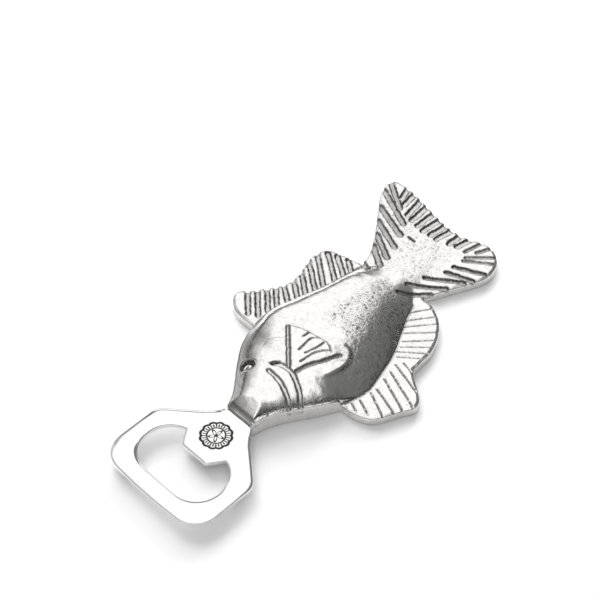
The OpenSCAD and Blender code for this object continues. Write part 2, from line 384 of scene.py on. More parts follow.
# Channels of the fins and the tail, each from its outer end to its root
DORSAL_RAYS = [
    ((43, 38), (35.5, 30)), ((46, 36), (37.5, 27)), ((49, 34), (41.5, 26)),
    ((51.5, 32), (45, 25)), ((54, 30.5), (49, 23)), ((58.5, 30), (52.5, 21.5)),
    ((63.5, 31), (55.5, 20.5)), ((69, 32.5), (59.5, 19.5)), ((74, 33), (63.5, 19.5)),
    ((77, 30.5), (68.5, 18.5)), ((78.5, 27), (72.5, 18)), ((79.5, 22.5), (76.5, 18)),
]
TAIL_UPPER_RAYS = [
    ((82.5, 18), (80.5, 13.5)), ((91.5, 21), (85.5, 12)), ((96.5, 24), (90.5, 13)),
    ((102, 28.5), (96.5, 15)), ((108, 33), (102.5, 17.5)), ((115.5, 38), (107.5, 20.5)),
    ((120.5, 39), (112.5, 27)),
]
TAIL_END_RAYS = [
    ((122.8, 32), (117, 30)), ((122.4, 28), (115, 27)), ((121.4, 24), (112, 22.5)),
    ((120.6, 20), (111, 19.5)), ((119.6, 16), (110.5, 16)), ((118.8, 12), (110, 13)),
    ((118.2, 8.5), (110.5, 9.5)), ((118.4, 5), (110.5, 6.5)), ((119, 1.2), (112, 1.6)),
    ((119.8, -2.9), (113, -1.5)),
]
TAIL_CORNER_RAYS = [
    ((121, -7), (113, -5.3)), ((121.4, -11.4), (115.7, -8.8)), ((119, -15.7), (111, -7.5)),
    ((116.5, -18.2), (109.3, -8)),
]
TAIL_LOWER_RAYS = [
    ((109.5, -18), (104.5, -7.5)), ((104, -17), (100.5, -7)), ((101, -15), (93, -3.5)),
    ((94.5, -12.5), (85.5, -1.5)), ((88.5, -10.5), (79.5, -2.5)),
]
ANAL_RAYS = [
    ((83.5, -15), (77, -11)), ((81.5, -18.5), (73, -12.5)), ((80, -21.5), (70.5, -14)),
    ((77, -24), (68, -15.5)), ((74, -26), (65, -18)), ((70.5, -27.5), (62.5, -19)),
    ((67, -28), (60, -19.5)), ((63.5, -27.5), (58.5, -21.5)),
]
PELVIC_RAYS = [
    ((31, -27.5), (32.5, -24)), ((32.5, -32), (35.5, -25)), ((35.5, -36), (40.5, -25.5)),
    ((39.5, -37.5), (43, -26)), ((42.5, -38.5), (48, -25)), ((46, -40), (52, -24)),
    ((51.5, -37), (55.5, -23.5)), ((56, -33), (58, -25)),
]
NICK = [(103.8, 14.4), (103.6, 11.7)]

# Cheek: two gill channels, the pectoral fin's channels, a raised line on the flank below it
# and a scribed line above it
GILLS = [
    [(21, 2.8), (22.6, 0), (22.9, -4.3), (21.5, -8.2), (19.3, -12), (16, -16)],
    [(18, 1.5), (17.8, -2.4), (16.8, -6.5), (15.2, -10.4), (12.8, -13.4), (10.8, -14.6)],
]
GILL_NOTCH = [(20.6, 3.6), (23, 1.6)]
PECTORAL_FRONT = [(36.2, 10.4), (30.3, 4.4), (25, -1), (24.2, -2)]
PECTORAL_RAYS = [
    [(36.4, 3.3), (39.4, 3.1)], [(31.3, 0.2), (34, 0.5), (38, 0.7), (40, -0.7)],
    [(31.8, -2.3), (36.9, -3.5), (40, -3.7)], [(28, -3.8), (33.5, -4.4), (36.7, -5.7), (39, -7.4)],
]
PECTORAL_BACK = [(36.8, 10.6), (38.7, 7), (39.7, 3.1), (40.2, -1.2), (40.6, -4.8), (39, -8.2)]
PECTORAL_FOLD = [(24.3, -5.4), (29.5, -6.9), (34.7, -9.1), (40.3, -10.9)]
FLANK_LINE = [(36.9, -14.2), (39.8, -15.4), (42.3, -17.4), (44.1, -19.8), (45.4, -22)]
CHEEK_LINE = [(24.4, 11.4), (27, 12), (29.7, 10.3), (31.5, 8.2)]
EYE = (15.8, 9.6)
EYE_BALL = (15.1, 9.0)


def fish_outline():
    stations = curve(BODY, 8)
    body = np.vstack([stations[:, :2], stations[::-1][:, [0, 2]]])
    fins = [curve(edge, 8) for edge in (DORSAL, ANAL, PELVIC, TAIL)]
    loop = smoothed(resample(union_outline([body] + fins), 0.25), 4)
    inset = moved_out(moved_out(loop, FILLET, 0.25), -FILLET - EDGE_R, 0.25)
    return resample(smoothed(inset, 6), 0.3)


def body_surface(p):
    """Height of the crowned body, and how far each point lies outside its foot, in mm."""
    x, y = p.T
    stations = curve(BODY, 12)
    belly, back, crown = (np.interp(x, stations[:, 0], stations[:, k]) for k in (1, 2, 3))
    mid, half = (belly + back) / 2, (back - belly) / 2
    across = np.abs(y - mid) / half
    free = np.where(y > mid, 1 - ramp(29, 35, x), 1 - ramp(25, 32, x))
    wall = np.minimum(FIN_TOP - 0.3 + (WALL_TOP - FIN_TOP + 0.3) * free, crown - 0.4)
    wall -= 1.9 * ramp(78, 86, x)
    t = np.clip(across, 0, 1)
    round_off = 0.6 + 0.35 * np.where(y < mid, ramp(28, 38, x), 1 - ramp(22, 36, x))
    shape = 2.3 + 3 * (y > mid) * ramp(24, 38, x) * (1 - ramp(72, 84, x))
    z = wall + (crown - wall) * (1 - t ** shape) ** round_off
    beyond = (across - 1) * half
    return np.where(across < 1, z, wall - 2 * beyond), beyond


def highest(a, b, blend):
    """The larger of two heights, blended where they are close."""
    h = np.clip(0.5 + (a - b) / (2 * blend), 0, 1)
    return b + (a - b) * h + blend * h * (1 - h)


class Relief:
    """Heights of the casting's face, with the shade painted on each point and how coarse it is."""

    def __init__(self, points, outline):
        self.p = points
        self.outline = outline
        # painted shade: how much darker each point is painted where channels, creases, pits and the
        # eye socket lie in shade
        self.painted_shade = np.zeros(len(points))
        self.coarse = np.zeros(len(points))
        self.wander = 0.16 * noise(points, 1.3, 3) + 0.08 * noise(points, 0.6, 4)
        self.shade_breakup = 1 - 0.3 * ramp(0, 0.7, noise(points, 0.45, 9))

    def channel(self, path, width, depth, floor, wall, lean=0.0):
        """Cuts a channel along a path and paints shade on its floor and walls.

        lean fades that painted shade to the path's left and widens it to its right, as if lit
        aslant."""
        d = path_distance(self.p, path) + self.wander * min(1, width)
        half, soft = width / 2, 0.3
        self.z -= depth * (1 - ramp(half - soft, half + soft * 0.6, d))
        (ax, ay), (bx, by) = path[0], path[-1]
        left = (bx - ax) * (self.p[:, 1] - ay) - (by - ay) * (self.p[:, 0] - ax) > 0
        # painted shade along the channel's walls, broken up by noise and heavier on one side
        band = bell(d - half, 0.4 + 0.25 * lean * ~left) * (1 - lean * left) * self.shade_breakup
        self.painted_shade = np.maximum.reduce(
            [self.painted_shade, floor * (1 - ramp(half * 0.4, half, d)), wall * band])

    def make(self):
        p = self.p
        x, y = p.T
        body, beyond = body_surface(p)
        fin = FIN_TOP - 0.2 + 0.10 * noise(p, 7, 5) + 0.05 * noise(p, 2.5, 6)
        blend = 0.15 + 1.6 * ramp(80, 90, x)
        self.z = highest(body, fin, blend)
        self.crease(beyond, x, y)
        self.snout(x, y)
        self.pectoral(x, y)
        self.z += 0.09 * noise(p, 6, 1) + 0.03 * noise(p, 2.2, 2)
        self.fins()
        self.cheek()
        self.eye()
        self.pits(x, y, beyond)
        worn = np.clip(WORN_W - loop_distance(self.p, self.outline), 0, WORN_W)
        self.z -= worn * math.tan(math.radians(WORN_ANGLE))
        self.z += 0.12 * bell(path_distance(self.p, FLANK_LINE), 0.35)
        self.z = np.minimum(self.z, FISH_HI[2] - 0.05)
        return self

    def crease(self, beyond, x, y):
        """Painted shade where the body meets its fins: a band at the back, a faint line at the
        belly.

        The back side of the head gets painted shade as well."""
        along = ramp(29, 31, x) * (1 - ramp(79, 83, x))
        line = bell(beyond - 0.15, 0.42) * along
        self.z -= 0.3 * line
        back = ramp(-2.6, -1.6, beyond + self.wander) * (1 - ramp(0.7, 1.2, beyond)) * along
        self.painted_shade = np.maximum(self.painted_shade, np.where(y > 0, 0.65 * back, 0.3 * line))
        # painted shade over the back side of the head, fading in from its edge
        far_head_shade = ramp(-5.5, -2.5, beyond + 4 * self.wander) * (y > 0) * (1 - ramp(24, 34, x))
        self.painted_shade = np.maximum(self.painted_shade, 0.62 * far_head_shade)

    def snout(self, x, y):
        """The ground facet above the lip, the groove under it with painted shade, and the lip
        itself.
        """
        steep = 2.8 / (1.9 + 0.44 * (4.1 - np.clip(y, -8, 4.1)))
        facet = 8 + steep * (x - 1.5)
        self.z = -highest(-self.z, -facet, 0.25)
        lip = 7.5 + 0.8 * (x - 1.3)
        self.z = np.where(x < 1.3, np.minimum(self.z, lip), self.z)
        line = bell(x - 1.6, 0.3)
        self.z -= 0.25 * line
        # painted shade along the groove under the facet
        self.painted_shade = np.maximum(self.painted_shade, 0.9 * line)

    def pectoral(self, x, y):
        """The fin on the cheek: a raised leaf whose lower lobe stands out of the flank."""
        loop = resample(curve(PECTORAL, 6), 0.8)
        near = (x > 20) & (x < 50) & (y > -20) & (y < 15)
        d = np.full(len(self.p), -9.0)
        q = self.p[near]
        d[near] = np.where(inside(q, loop), 1, -1) * path_distance(q, np.vstack([loop, loop[:1]]))
        level = np.c_[x, np.maximum(y, -7.5)]
        leaf = body_surface(level)[0] + 0.4 - 0.17 * np.clip(-7.5 - y, 0, 20)
        raise_by = ramp(-0.9, 1, d)
        self.z += np.maximum(leaf - self.z, 0) * raise_by

    def fins(self):
        # floor and wall: how much shade is painted on each channel's floor and walls; lean tilts it
        # as if lit aslant
        rows = [(DORSAL_RAYS, 1.8, 1.0, 0.36, 1.0, 0.3), (TAIL_UPPER_RAYS, 2.1, 0.9, 0.5, 1.0, 0.2),
                (TAIL_END_RAYS, 2.1, 0.8, 0.3, 1.0, 0), (TAIL_CORNER_RAYS, 1.2, 0.7, 0.5, 0.8, 0),
                (TAIL_LOWER_RAYS, 1.7, 1.0, 0.5, 1.0, 0), (ANAL_RAYS, 0.5, 0.4, 0.7, 0.2, 0),
                (PELVIC_RAYS, 0.45, 0.4, 0.65, 0.2, 0)]
        for paths, width, depth, floor, wall, lean in rows:
            for path in paths:
                self.channel(path, width, depth, floor, wall, lean)
        self.channel(NICK, 0.7, 0.6, 1, 0.8)

    def cheek(self):
        for path in GILLS:
            self.channel(curve(path, 4), 1.5, 0.6, 0.2, 0.8)
        self.channel(PECTORAL_FRONT, 1.3, 0.6, 0.25, 0.75)
        for path in PECTORAL_RAYS:
            self.channel(curve(path, 4), 0.6, 0.4, 0.75, 0.3)
        self.channel(curve(PECTORAL_BACK, 3), 0.5, 0.35, 0.55, 0.1)
        self.channel(curve(PECTORAL_FOLD, 4), 1.2, 0.8, 0.65, 0.7)
        self.channel(GILL_NOTCH, 0.8, 0.6, 0.9, 0.6)
        self.channel(CHEEK_LINE, 0.5, 0.12, 0.4, 0)

    def eye(self):
        socket = np.linalg.norm(self.p - EYE, axis=1)
        ball = np.linalg.norm(self.p - EYE_BALL, axis=1)
        self.z -= 1.4 * (1 - ramp(2.1, 3, socket))
        self.z += 1.2 * np.sqrt(np.clip(1 - (ball / 1.8) ** 2, 0, 1))
        # painted shade in the socket round the ball, a little heavier on one side as if lit aslant
        ring = (1 - ramp(2.5, 3, socket)) * ramp(1.5, 1.9, ball)
        side = (self.p - EYE) @ (0.75, 0.66)
        self.painted_shade = np.maximum(self.painted_shade, ring * (0.85 + 0.15 * ramp(-0.6, 0.8, side)))
        # a stroke of painted shade on the socket's other side
        socket_shade_stroke = bell(socket - 2.3, 0.5) * (1 - ramp(-1.7, -0.6, side))
        self.painted_shade = np.maximum(self.painted_shade, 0.9 * socket_shade_stroke)

    def pits(self, x, y, beyond):
        """Coarse sand-cast patches: the rear body, the belly above its wall, tail and flank."""
        rear = ramp(44, 52, x) * (1 - ramp(76, 84, x)) * ramp(-18, -9, y) * (1 - ramp(3, 9, y))
        belly = ramp(-4.5, -2, beyond) * (y < 0) * (1 - ramp(26, 34, x)) * ramp(3, 7, x)
        tail = 0.6 * ramp(82, 90, x) * (1 - ramp(108, 113, x)) * ramp(-8, -2, y)
        flank = 0.7 * ramp(30, 44, x) * (1 - ramp(74, 82, x))
        flank *= (1 - ramp(-12, -5, y)) * (beyond < 0)
        everywhere = np.full(len(x), 0.2)
        self.coarse = np.clip(np.maximum.reduce([rear, belly, tail, flank, everywhere]), 0, 1)
        speck = np.clip(noise(self.p, 0.55, 8) - 0.3, 0, 1) * 1.5
        self.z -= (0.08 + 0.1 * flank) * speck * self.coarse
        self.z += 0.07 * flank * noise(self.p, 1.1, 10)
        # painted shade in the pits
        self.painted_shade = np.maximum(self.painted_shade, 0.75 * ramp(0.2, 0.55, speck) * self.coarse)


# ---------------------------------------------------------------- materials


class Shader:
    """A material around one Principled shader, with short ways to add its nodes."""

    def __init__(self, name, values):
        self.material = bpy.data.materials.new(name)
        self.material.use_nodes = True
        tree = self.material.node_tree
        tree.nodes.clear()
        self.nodes, self.links = tree.nodes, tree.links
        self.bsdf = self.add("ShaderNodeBsdfPrincipled", values)
        self.add("ShaderNodeOutputMaterial", {"Surface": self.bsdf.outputs[0]})
        self.place = self.add("ShaderNodeTexCoord").outputs["Object"]

    def add(self, kind, values=None, **settings):
        node = self.nodes.new(kind)
        for key, value in settings.items():
            setattr(node, key, value)
        for socket, value in (values or {}).items():
            if isinstance(value, bpy.types.NodeSocket):
                self.links.new(value, node.inputs[socket])
            else:
                node.inputs[socket].default_value = value
        return node

    def drive(self, socket, value):
        self.links.new(value, self.bsdf.inputs[socket])

    def stretched(self, scale):
        return self.add("ShaderNodeMapping", {"Vector": self.place, "Scale": scale}).outputs[0]

    def noise(self, size, detail=3, rough=0.5, vector=None):
        """Cloudy noise from 0 to 1, with features about that many millimetres across."""
        values = {"Vector": vector or self.place, "Scale": 1 / (size * MM), "Detail": detail,
                  "Roughness": rough}
        return self.add("ShaderNodeTexNoise", values).outputs["Fac"]

    def cells(self, size):
        values = {"Vector": self.place, "Scale": 1 / (size * MM)}
        return self.add("ShaderNodeTexVoronoi", values).outputs["Distance"]

    def attribute(self, name):
        return self.add("ShaderNodeAttribute", attribute_name=name).outputs["Fac"]

    def math(self, operation, a, b, clamp=False):
        return self.add("ShaderNodeMath", {0: a, 1: b}, operation=operation,
                        use_clamp=clamp).outputs[0]

    def spread(self, value, low, high, to_low=0.0, to_high=1.0):
        values = {"Value": value, "From Min": low, "From Max": high, "To Min": to_low,
                  "To Max": to_high}
        return self.add("ShaderNodeMapRange", values).outputs[0]

    def mix(self, factor, a, b):
        """Mixes two colours, or two numbers, by a factor."""
        colour = not isinstance(a, (int, float)) and not (
            isinstance(a, bpy.types.NodeSocket) and a.type == "VALUE")
        node = self.add("ShaderNodeMix", data_type="RGBA" if colour else "FLOAT")
        first = 6 if colour else 2
        for index, value in ((0, factor), (first, a), (first + 1, b)):
            if isinstance(value, bpy.types.NodeSocket):
                self.links.new(value, node.inputs[index])
            else:
                node.inputs[index].default_value = value
        return node.outputs[2 if colour else 0]

    def bump(self, height, strength, depth, normal=None):
        values = {"Height": height, "Strength": strength, "Distance": depth * MM}
        if normal:
            values["Normal"] = normal
        return self.add("ShaderNodeBump", values).outputs[0]


def grey(value, warm=0.0):
    return (value, value * (1 - warm), value * (1 - 2 * warm), 1)


def cast_aluminium():
    """Sand-cast aluminium: polished on its high places, pitted, with shade painted into the
    recesses.
    """
    s = Shader("cast_aluminium", {"Metallic": 1.0})
    painted_shade, coarse, wall = (s.attribute(n) for n in ("painted_shade", "coarse", "wall"))
    cloud = s.noise(2.4, 4, 0.6)
    grain = s.noise(0.42, 3, 0.6)
    speck = s.spread(s.noise(0.34, 2, 0.6), 0.54, 0.6)
    stain = s.math("MULTIPLY", s.math("MULTIPLY", speck, coarse), 0.8, True)
    # painted shade from the vertices, mottled by noise, darkens the base colour towards near black
    recess_shade = s.math("MULTIPLY", painted_shade, s.spread(s.noise(0.5, 3, 0.6), 0.3, 0.55, 0.45, 1.1), True)
    skin = s.mix(s.spread(cloud, 0.35, 0.7), grey(0.93, 0.008), grey(0.78, 0.012))
    skin = s.mix(s.math("MULTIPLY", wall, 0.8), skin, grey(0.86, 0.01))
    skin = s.mix(stain, skin, grey(0.24, 0.02))
    s.drive("Base Color", s.mix(recess_shade, skin, grey(0.075, 0.03)))
    rough = s.math("ADD", s.spread(cloud, 0.3, 0.75, 0.10, 0.17),
                   s.math("ADD", s.math("MULTIPLY", coarse, 0.05), s.math("MULTIPLY", wall, 0.25)))
    s.drive("Roughness", s.mix(recess_shade, rough, 0.6))
    scratch = s.noise(0.3, 2, 0.5, s.stretched((0.12, 1, 1)))
    smooth = s.bump(s.noise(3.5, 2), 0.3, 0.35)
    brushed = s.bump(scratch, 0.10, 0.03, smooth)
    sandy = s.bump(grain, s.spread(s.math("MAXIMUM", coarse, wall), 0, 1, 0.1, 1.0), 0.07, brushed)
    s.drive("Normal", sandy)
    return s.material


def polished_steel():
    """Buffed stainless steel, with a faint grain along the plate and an etched emblem."""
    s = Shader("polished_steel", {"Metallic": 1.0})
    etch = s.attribute("etch")
    cloud = s.noise(9, 3)
    bright = s.mix(cloud, grey(0.93), grey(0.88, 0.004))
    s.drive("Base Color", s.mix(etch, bright, grey(0.06, 0.02)))
    s.drive("Roughness", s.mix(etch, s.spread(cloud, 0.35, 0.7, 0.07, 0.13), 0.6))
    grain = s.noise(0.22, 3, 0.5, s.stretched((0.06, 1, 1)))
    s.drive("Normal", s.bump(grain, 0.05, 0.02, s.bump(s.noise(11, 1), 0.5, 0.12)))
    return s.material


def pin_steel():
    """Plain ground steel, its end dressed flush with turning marks."""
    s = Shader("pin_steel", {"Metallic": 1.0})
    s.drive("Base Color", s.mix(s.noise(0.8, 3), grey(0.62), grey(0.45, 0.02)))
    s.drive("Roughness", s.spread(s.noise(0.3, 3), 0.3, 0.7, 0.25, 0.45))
    s.drive("Normal", s.bump(s.noise(0.2, 2, 0.5, s.stretched((1, 1, 0.1))), 0.3, 0.03))
    return s.material


def epoxy():
    """Cured grey adhesive with a few bubbles."""
    s = Shader("adhesive", {"Specular IOR Level": 0.4})
    s.drive("Base Color", s.mix(s.noise(1.2, 3), grey(0.20, 0.04), grey(0.32, 0.05)))
    s.drive("Roughness", s.spread(s.noise(0.8, 2), 0.3, 0.7, 0.35, 0.6))
    s.drive("Normal", s.bump(s.spread(s.cells(0.9), 0.1, 0.4), 0.4, 0.08))
    return s.material


def paint(mesh, name, values):
    """Stores one number per vertex for a material to read."""
    layer = mesh.attributes.new(name, "FLOAT", "POINT")
    layer.data.foreach_set("value", np.ascontiguousarray(values, np.float32))


# ---------------------------------------------------------------- the casting

CELL = 0.34              # spacing of the casting's face
SLOT_GAP = 0.3           # adhesive gap round the tang
SLOT_LEAD = 1.0          # how far the slot's cutter reaches out of the mouth


def cast_fish():
    loop = fish_outline()
    face = lattice(loop.min(0), loop.max(0), CELL)
    face = face[inside(face, loop)]
    face = face[loop_distance(face, loop) > CELL * 0.6]
    build = Builder()
    [ring] = build.sheet([loop], face, lambda v: Relief(v, loop).make().z, True)
    top = np.array([build.points[i][2] for i in ring])

    def rough_wall(p, z):
        return 0.05 * noise(np.c_[p[:, 0] + p[:, 1], z * 1.3], 1.6, 11) * (z > 0.4)

    _, low_loop = rim(build, loop, ring, top, 0, EDGE_R, FOOT_R, rough_wall)
    pin_at = (PIN_LO[:2] + PIN_HI[:2]) / 2 - (MOUTH_X, 0)
    bore = circle(pin_at, (PIN_HI[0] - PIN_LO[0]) / 2)
    back = lattice(low_loop.min(0), low_loop.max(0), 2.5)
    back = back[inside(back, low_loop)]
    back = back[(loop_distance(back, low_loop) > 1) & (loop_distance(back, bore) > 1)]
    back = back[~inside(back, bore)]
    _, hole = build.sheet([low_loop, bore], back, lambda v: np.zeros(len(v)), False)
    end = build.add(np.c_[bore, np.full(len(bore), PIN_HI[2])])
    build.band(hole, end)
    build.faces.append(tuple(end))
    build.origin = (MOUTH_X, 0, 0)
    fish = build.finish("fish_casting", MATERIALS["cast_aluminium"])
    cut_slot(fish)
    mesh = fish.data
    co = np.empty(len(mesh.vertices) * 3)
    mesh.vertices.foreach_get("co", co)
    co = co.reshape(-1, 3) / MM - (MOUTH_X, 0, 0)
    relief = Relief(co[:, :2], loop).make()
    on_face = np.abs(co[:, 2] - relief.z) < 0.3
    # stores the painted shade per vertex, with how coarse the skin is and which faces are walls
    paint(mesh, "painted_shade", np.where(on_face, relief.painted_shade, 0))
    paint(mesh, "coarse", np.where(on_face, relief.coarse, 0.5))
    paint(mesh, "wall", np.where(on_face, 0, 1))
    return fish


def cut_slot(fish):
    """Cuts the slot for the tang into the mouth."""
    size = np.array([HEAD_HI[0] - MOUTH_X + SLOT_GAP + SLOT_LEAD, TANG_W + 2 * SLOT_GAP,
                     PLATE_TOP - PLATE_LOW + 2 * SLOT_GAP])
    low = np.array([MOUTH_X - SLOT_LEAD, HEAD_Y - size[1] / 2, PLATE_LOW - SLOT_GAP])
    mesh = bpy.data.meshes.new("cutter")
    bm = bmesh.new()
    bmesh.ops.create_cube(bm, size=1)
    for v in bm.verts:
        v.co = Vector((low + size * (np.array(v.co) + 0.5)) * MM)
    bm.to_mesh(mesh)
    bm.free()
    cutter = bpy.data.objects.new("cutter", mesh)
    bpy.context.scene.collection.objects.link(cutter)
    change = fish.modifiers.new("slot", "BOOLEAN")
    change.operation, change.object, change.solver = "DIFFERENCE", cutter, "EXACT"
    graph = bpy.context.evaluated_depsgraph_get()
    result = bpy.data.meshes.new_from_object(fish.evaluated_get(graph))
    fish.modifiers.clear()
    fish.data = result
    bpy.data.objects.remove(cutter)
    shade(result, SHARP)


# ---------------------------------------------------------------- the steel head

PLATE_R = 0.4            # rounding of the plate's edges
CORNER_R = 0.5           # rounding of its sharp corners in plan
BEVEL_W, BEVEL_ANGLE = 0.3, 26      # narrowest worn slope at its upper edges, and how steep
RIM_W = 7                # rim opposite the tab
HOLE_W, HOLE_L = 34.6, 20.5         # width and length of the cap opening
TAB_REACH, TAB_W, TAB_ROOT = 5.5, 11.4, 19.2    # the lifting tab, its tip's and its root's width
NECK_W, TANG_W = 12.2, 9.6          # the plate's width just outside and inside the casting
KEY_D, KEY_BACK = 4, 5   # hole near the tang's end that the adhesive fills
ETCH_D, ETCH_DEPTH = 11.5, 0.12
ETCH_BACK = 4.9          # from the opening's near end to the emblem's middle
STROKE_R = 4.15          # radius of the emblem's row of strokes
OUTER_ROWS = (0.3, 0.6, 0.95, 1.3, 1.7, 2.1)    # rows of points in from the plate's edge
OPENING_ROWS = (0.3, 0.6, 0.95, 1.2)            # and back from the cap opening


def plate_outline():
    half = (HEAD_HI[1] - HEAD_LO[1]) / 2
    shoulder = REACH - (half - NECK_W / 2) * 0.91
    return rounded(both_sides([
        (0, 5, 40), (0.9, half, 10), (shoulder, half, 6), (REACH - 5.5, NECK_W / 2 + 4.9, 12),
        (REACH, NECK_W / 2, 0), (REACH, TANG_W / 2, 0), (HEAD_HI[0] - RIM_X, TANG_W / 2, 2)]))


def cap_opening():
    """The round-cornered opening, with the lifting tab standing in it."""
    near = RIM_W + HOLE_L
    window = resample(rounded(both_sides([(RIM_W, HOLE_W / 2, 9.8), (near, HOLE_W / 2, 9.6)])), 0.2)
    tab = np.array(both_sides([(near - TAB_REACH, TAB_W / 2), (near, TAB_ROOT / 2),
                               (near + 2, TAB_ROOT / 2)]))
    clear = ~inside(window, tab)
    first = int(np.flatnonzero(clear & ~np.roll(clear, 1))[0])
    kept = np.roll(window, -first, 0)[np.roll(clear, -first)]
    corners = np.array([(near - TAB_REACH, TAB_W / 2), (near - TAB_REACH, -TAB_W / 2)])
    if kept[-1][1] < 0:
        corners = corners[::-1]
    return np.vstack([kept, corners])


def emblem(p):
    """The etched badge: a scalloped ring, a row of short strokes and a five-petalled flower."""
    r = np.linalg.norm(p, axis=1)
    w = np.arctan2(p[:, 1], p[:, 0])
    edge = ETCH_D / 2 - 0.7 + 0.45 * np.abs(np.cos(6 * w))
    ring = 1 - ramp(0.34, 0.48, np.abs(r - edge))
    inner = 1 - ramp(0.18, 0.3, np.abs(r - ETCH_D * 0.28))
    stroke = 1 - ramp(0.5, 0.75, np.abs(np.cos(14 * w)))
    stroke *= 1 - ramp(0.5, 0.65, np.abs(r - STROKE_R))
    petal = ETCH_D * 0.13 * (1 + 0.7 * np.cos(5 * w))
    flower = 1 - ramp(0.24, 0.4, np.abs(r - petal))
    heart = 1 - ramp(0.5, 0.65, r)
    return np.maximum.reduce([ring, inner, stroke, flower, heart])


def steel_head():
    outer = moved_out(moved_out(plate_outline(), -PLATE_R - CORNER_R, 0.2), CORNER_R, 0.2)
    opening = moved_out(moved_out(cap_opening(), PLATE_R + CORNER_R, 0.2), -CORNER_R, 0.2)
    pin_r = (PIN_HI[0] - PIN_LO[0]) / 2
    small_r = 0.2
    pin = circle(((PIN_LO[0] + PIN_HI[0]) / 2 - RIM_X, 0), pin_r + small_r)
    key = circle((HEAD_HI[0] - RIM_X - KEY_BACK, 0), KEY_D / 2 + small_r)
    loops = [outer] + [q[::-1] for q in (opening, pin, key)]
    radii = [PLATE_R, PLATE_R, small_r, small_r]
    etch_at = np.array([RIM_W + HOLE_L + ETCH_BACK, 0])
    fine = lattice(etch_at - ETCH_D * 0.56, etch_at + ETCH_D * 0.56, 0.14)
    fine = fine[np.linalg.norm(fine - etch_at, axis=1) < ETCH_D * 0.53]
    wide = lattice(outer.min(0), outer.max(0), 1.0)
    inner_lines = [moved_out(outer, -d, 0.4) for d in OUTER_ROWS]
    inner_lines += [moved_out(opening, d, 0.4) for d in OPENING_ROWS]
    wide = wide[(loop_distance(wide, outer) > 2.5) & (loop_distance(wide, opening) > 1.5)]
    wide = np.vstack([wide] + inner_lines)
    wide = wide[np.linalg.norm(wide - etch_at, axis=1) > ETCH_D * 0.55]
    face = np.vstack([fine, wide])
    face = face[inside(face, outer)]
    for loop in loops:
        face = face[loop_distance(face, loop) > 0.25]
    for loop in loops[1:]:
        face = face[~inside(face, loop)]

    def height(v):
        edge = loop_distance(v, outer)
        sides = ramp(18, 28, v[:, 0]) * (1 - ramp(REACH - 4, REACH, v[:, 0]))
        coined = 0.3 * sides * np.clip(1 - edge / 5, 0, 1) ** 2
        above = ramp(-6, 6, v[:, 1]) * ramp(2, 7, v[:, 0])
        inner = np.maximum(1 - ramp(-6, 6, v[:, 1]), 1 - ramp(9, 13, v[:, 0]))
        inner *= 1 - ramp(17, 21, v[:, 0])
        drop = coined
        hole = loop_distance(v, opening)
        for widen, inset, power in ((1 + 4.6 * above, edge, 1.25), (1 + 2.2 * inner, hole, 1)):
            width = BEVEL_W * widen
            worn = np.clip(1 - inset / width, 0, 1) ** power * width / power
            worn *= 1 - ramp(REACH - 2, REACH - 0.5, v[:, 0])
            drop = drop + worn * math.tan(math.radians(BEVEL_ANGLE))
        return PLATE_TOP - drop - ETCH_DEPTH * emblem(v - etch_at)

    build = Builder()
    rings = build.sheet(loops, face, height, True)
    low_loops = []
    for loop, ring, radius in zip(loops, rings, radii):
        top = np.array([build.points[i][2] for i in ring])
        low_loops.append(rim(build, loop, ring, top, PLATE_LOW, radius, radius)[1])
    under = wide[inside(wide, low_loops[0])]
    for loop in low_loops:
        under = under[loop_distance(under, loop) > 0.3]
    for loop in low_loops[1:]:
        under = under[~inside(under, loop)]
    build.sheet(low_loops, under, lambda v: np.full(len(v), PLATE_LOW), False)
    build.origin = (RIM_X, HEAD_Y, 0)
    head = build.finish("steel_head", MATERIALS["polished_steel"], 40)
    co = np.empty(len(head.data.vertices) * 3)
    head.data.vertices.foreach_get("co", co)
    co = co.reshape(-1, 3) / MM - build.origin
    etched = emblem(co[:, :2] - etch_at) * (co[:, 2] > PLATE_TOP - 2 * ETCH_DEPTH)
    etched *= np.linalg.norm(co[:, :2] - etch_at, axis=1) < ETCH_D * 0.53
    paint(head.data, "etch", etched)
    return head


# ---------------------------------------------------------------- the pin


def retaining_pin():
    """The pin: a chamfered foot dressed flush with the back and a rounded nose."""
    radius, length = (PIN_HI[0] - PIN_LO[0]) / 2, PIN_HI[2]
    profile = [(radius - 0.12, 0.0), (radius - 0.02, 0.12), (radius - 0.02, length - 0.6),
               (radius - 0.2, length - 0.2), (radius - 0.6, length - 0.03)]
    at = (PIN_LO[:2] + PIN_HI[:2]) / 2
    build = Builder()
    rings = [build.add(np.c_[circle(at, r), np.full(CIRCLE_POINTS, z)]) for r, z in profile]
    for upper, lower in zip(rings[1:], rings[:-1]):
        build.band(upper, lower)
    build.faces += [tuple(rings[0][::-1]), tuple(rings[-1])]
    return build.finish("steel_pin", MATERIALS["pin_steel"], 35)


# ---------------------------------------------------------------- putting it together

MATERIALS = {"cast_aluminium": cast_aluminium(), "polished_steel": polished_steel(),
             "pin_steel": pin_steel(), "adhesive": epoxy()}

PIECES = [(cast_fish, "fish_handle", "cast_aluminium"),
          (steel_head, "opener_head", "polished_steel"),
          (retaining_pin, "retaining_pin", "pin_steel")]
for make, node, slot in PIECES:
    piece = make()
    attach(piece, "root")
    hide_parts(node)

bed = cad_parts["epoxy_bed"]
bed.data.materials.clear()
bed.data.materials.append(MATERIALS["adhesive"])

# ---------------------------------------------------------------- floor, light and camera

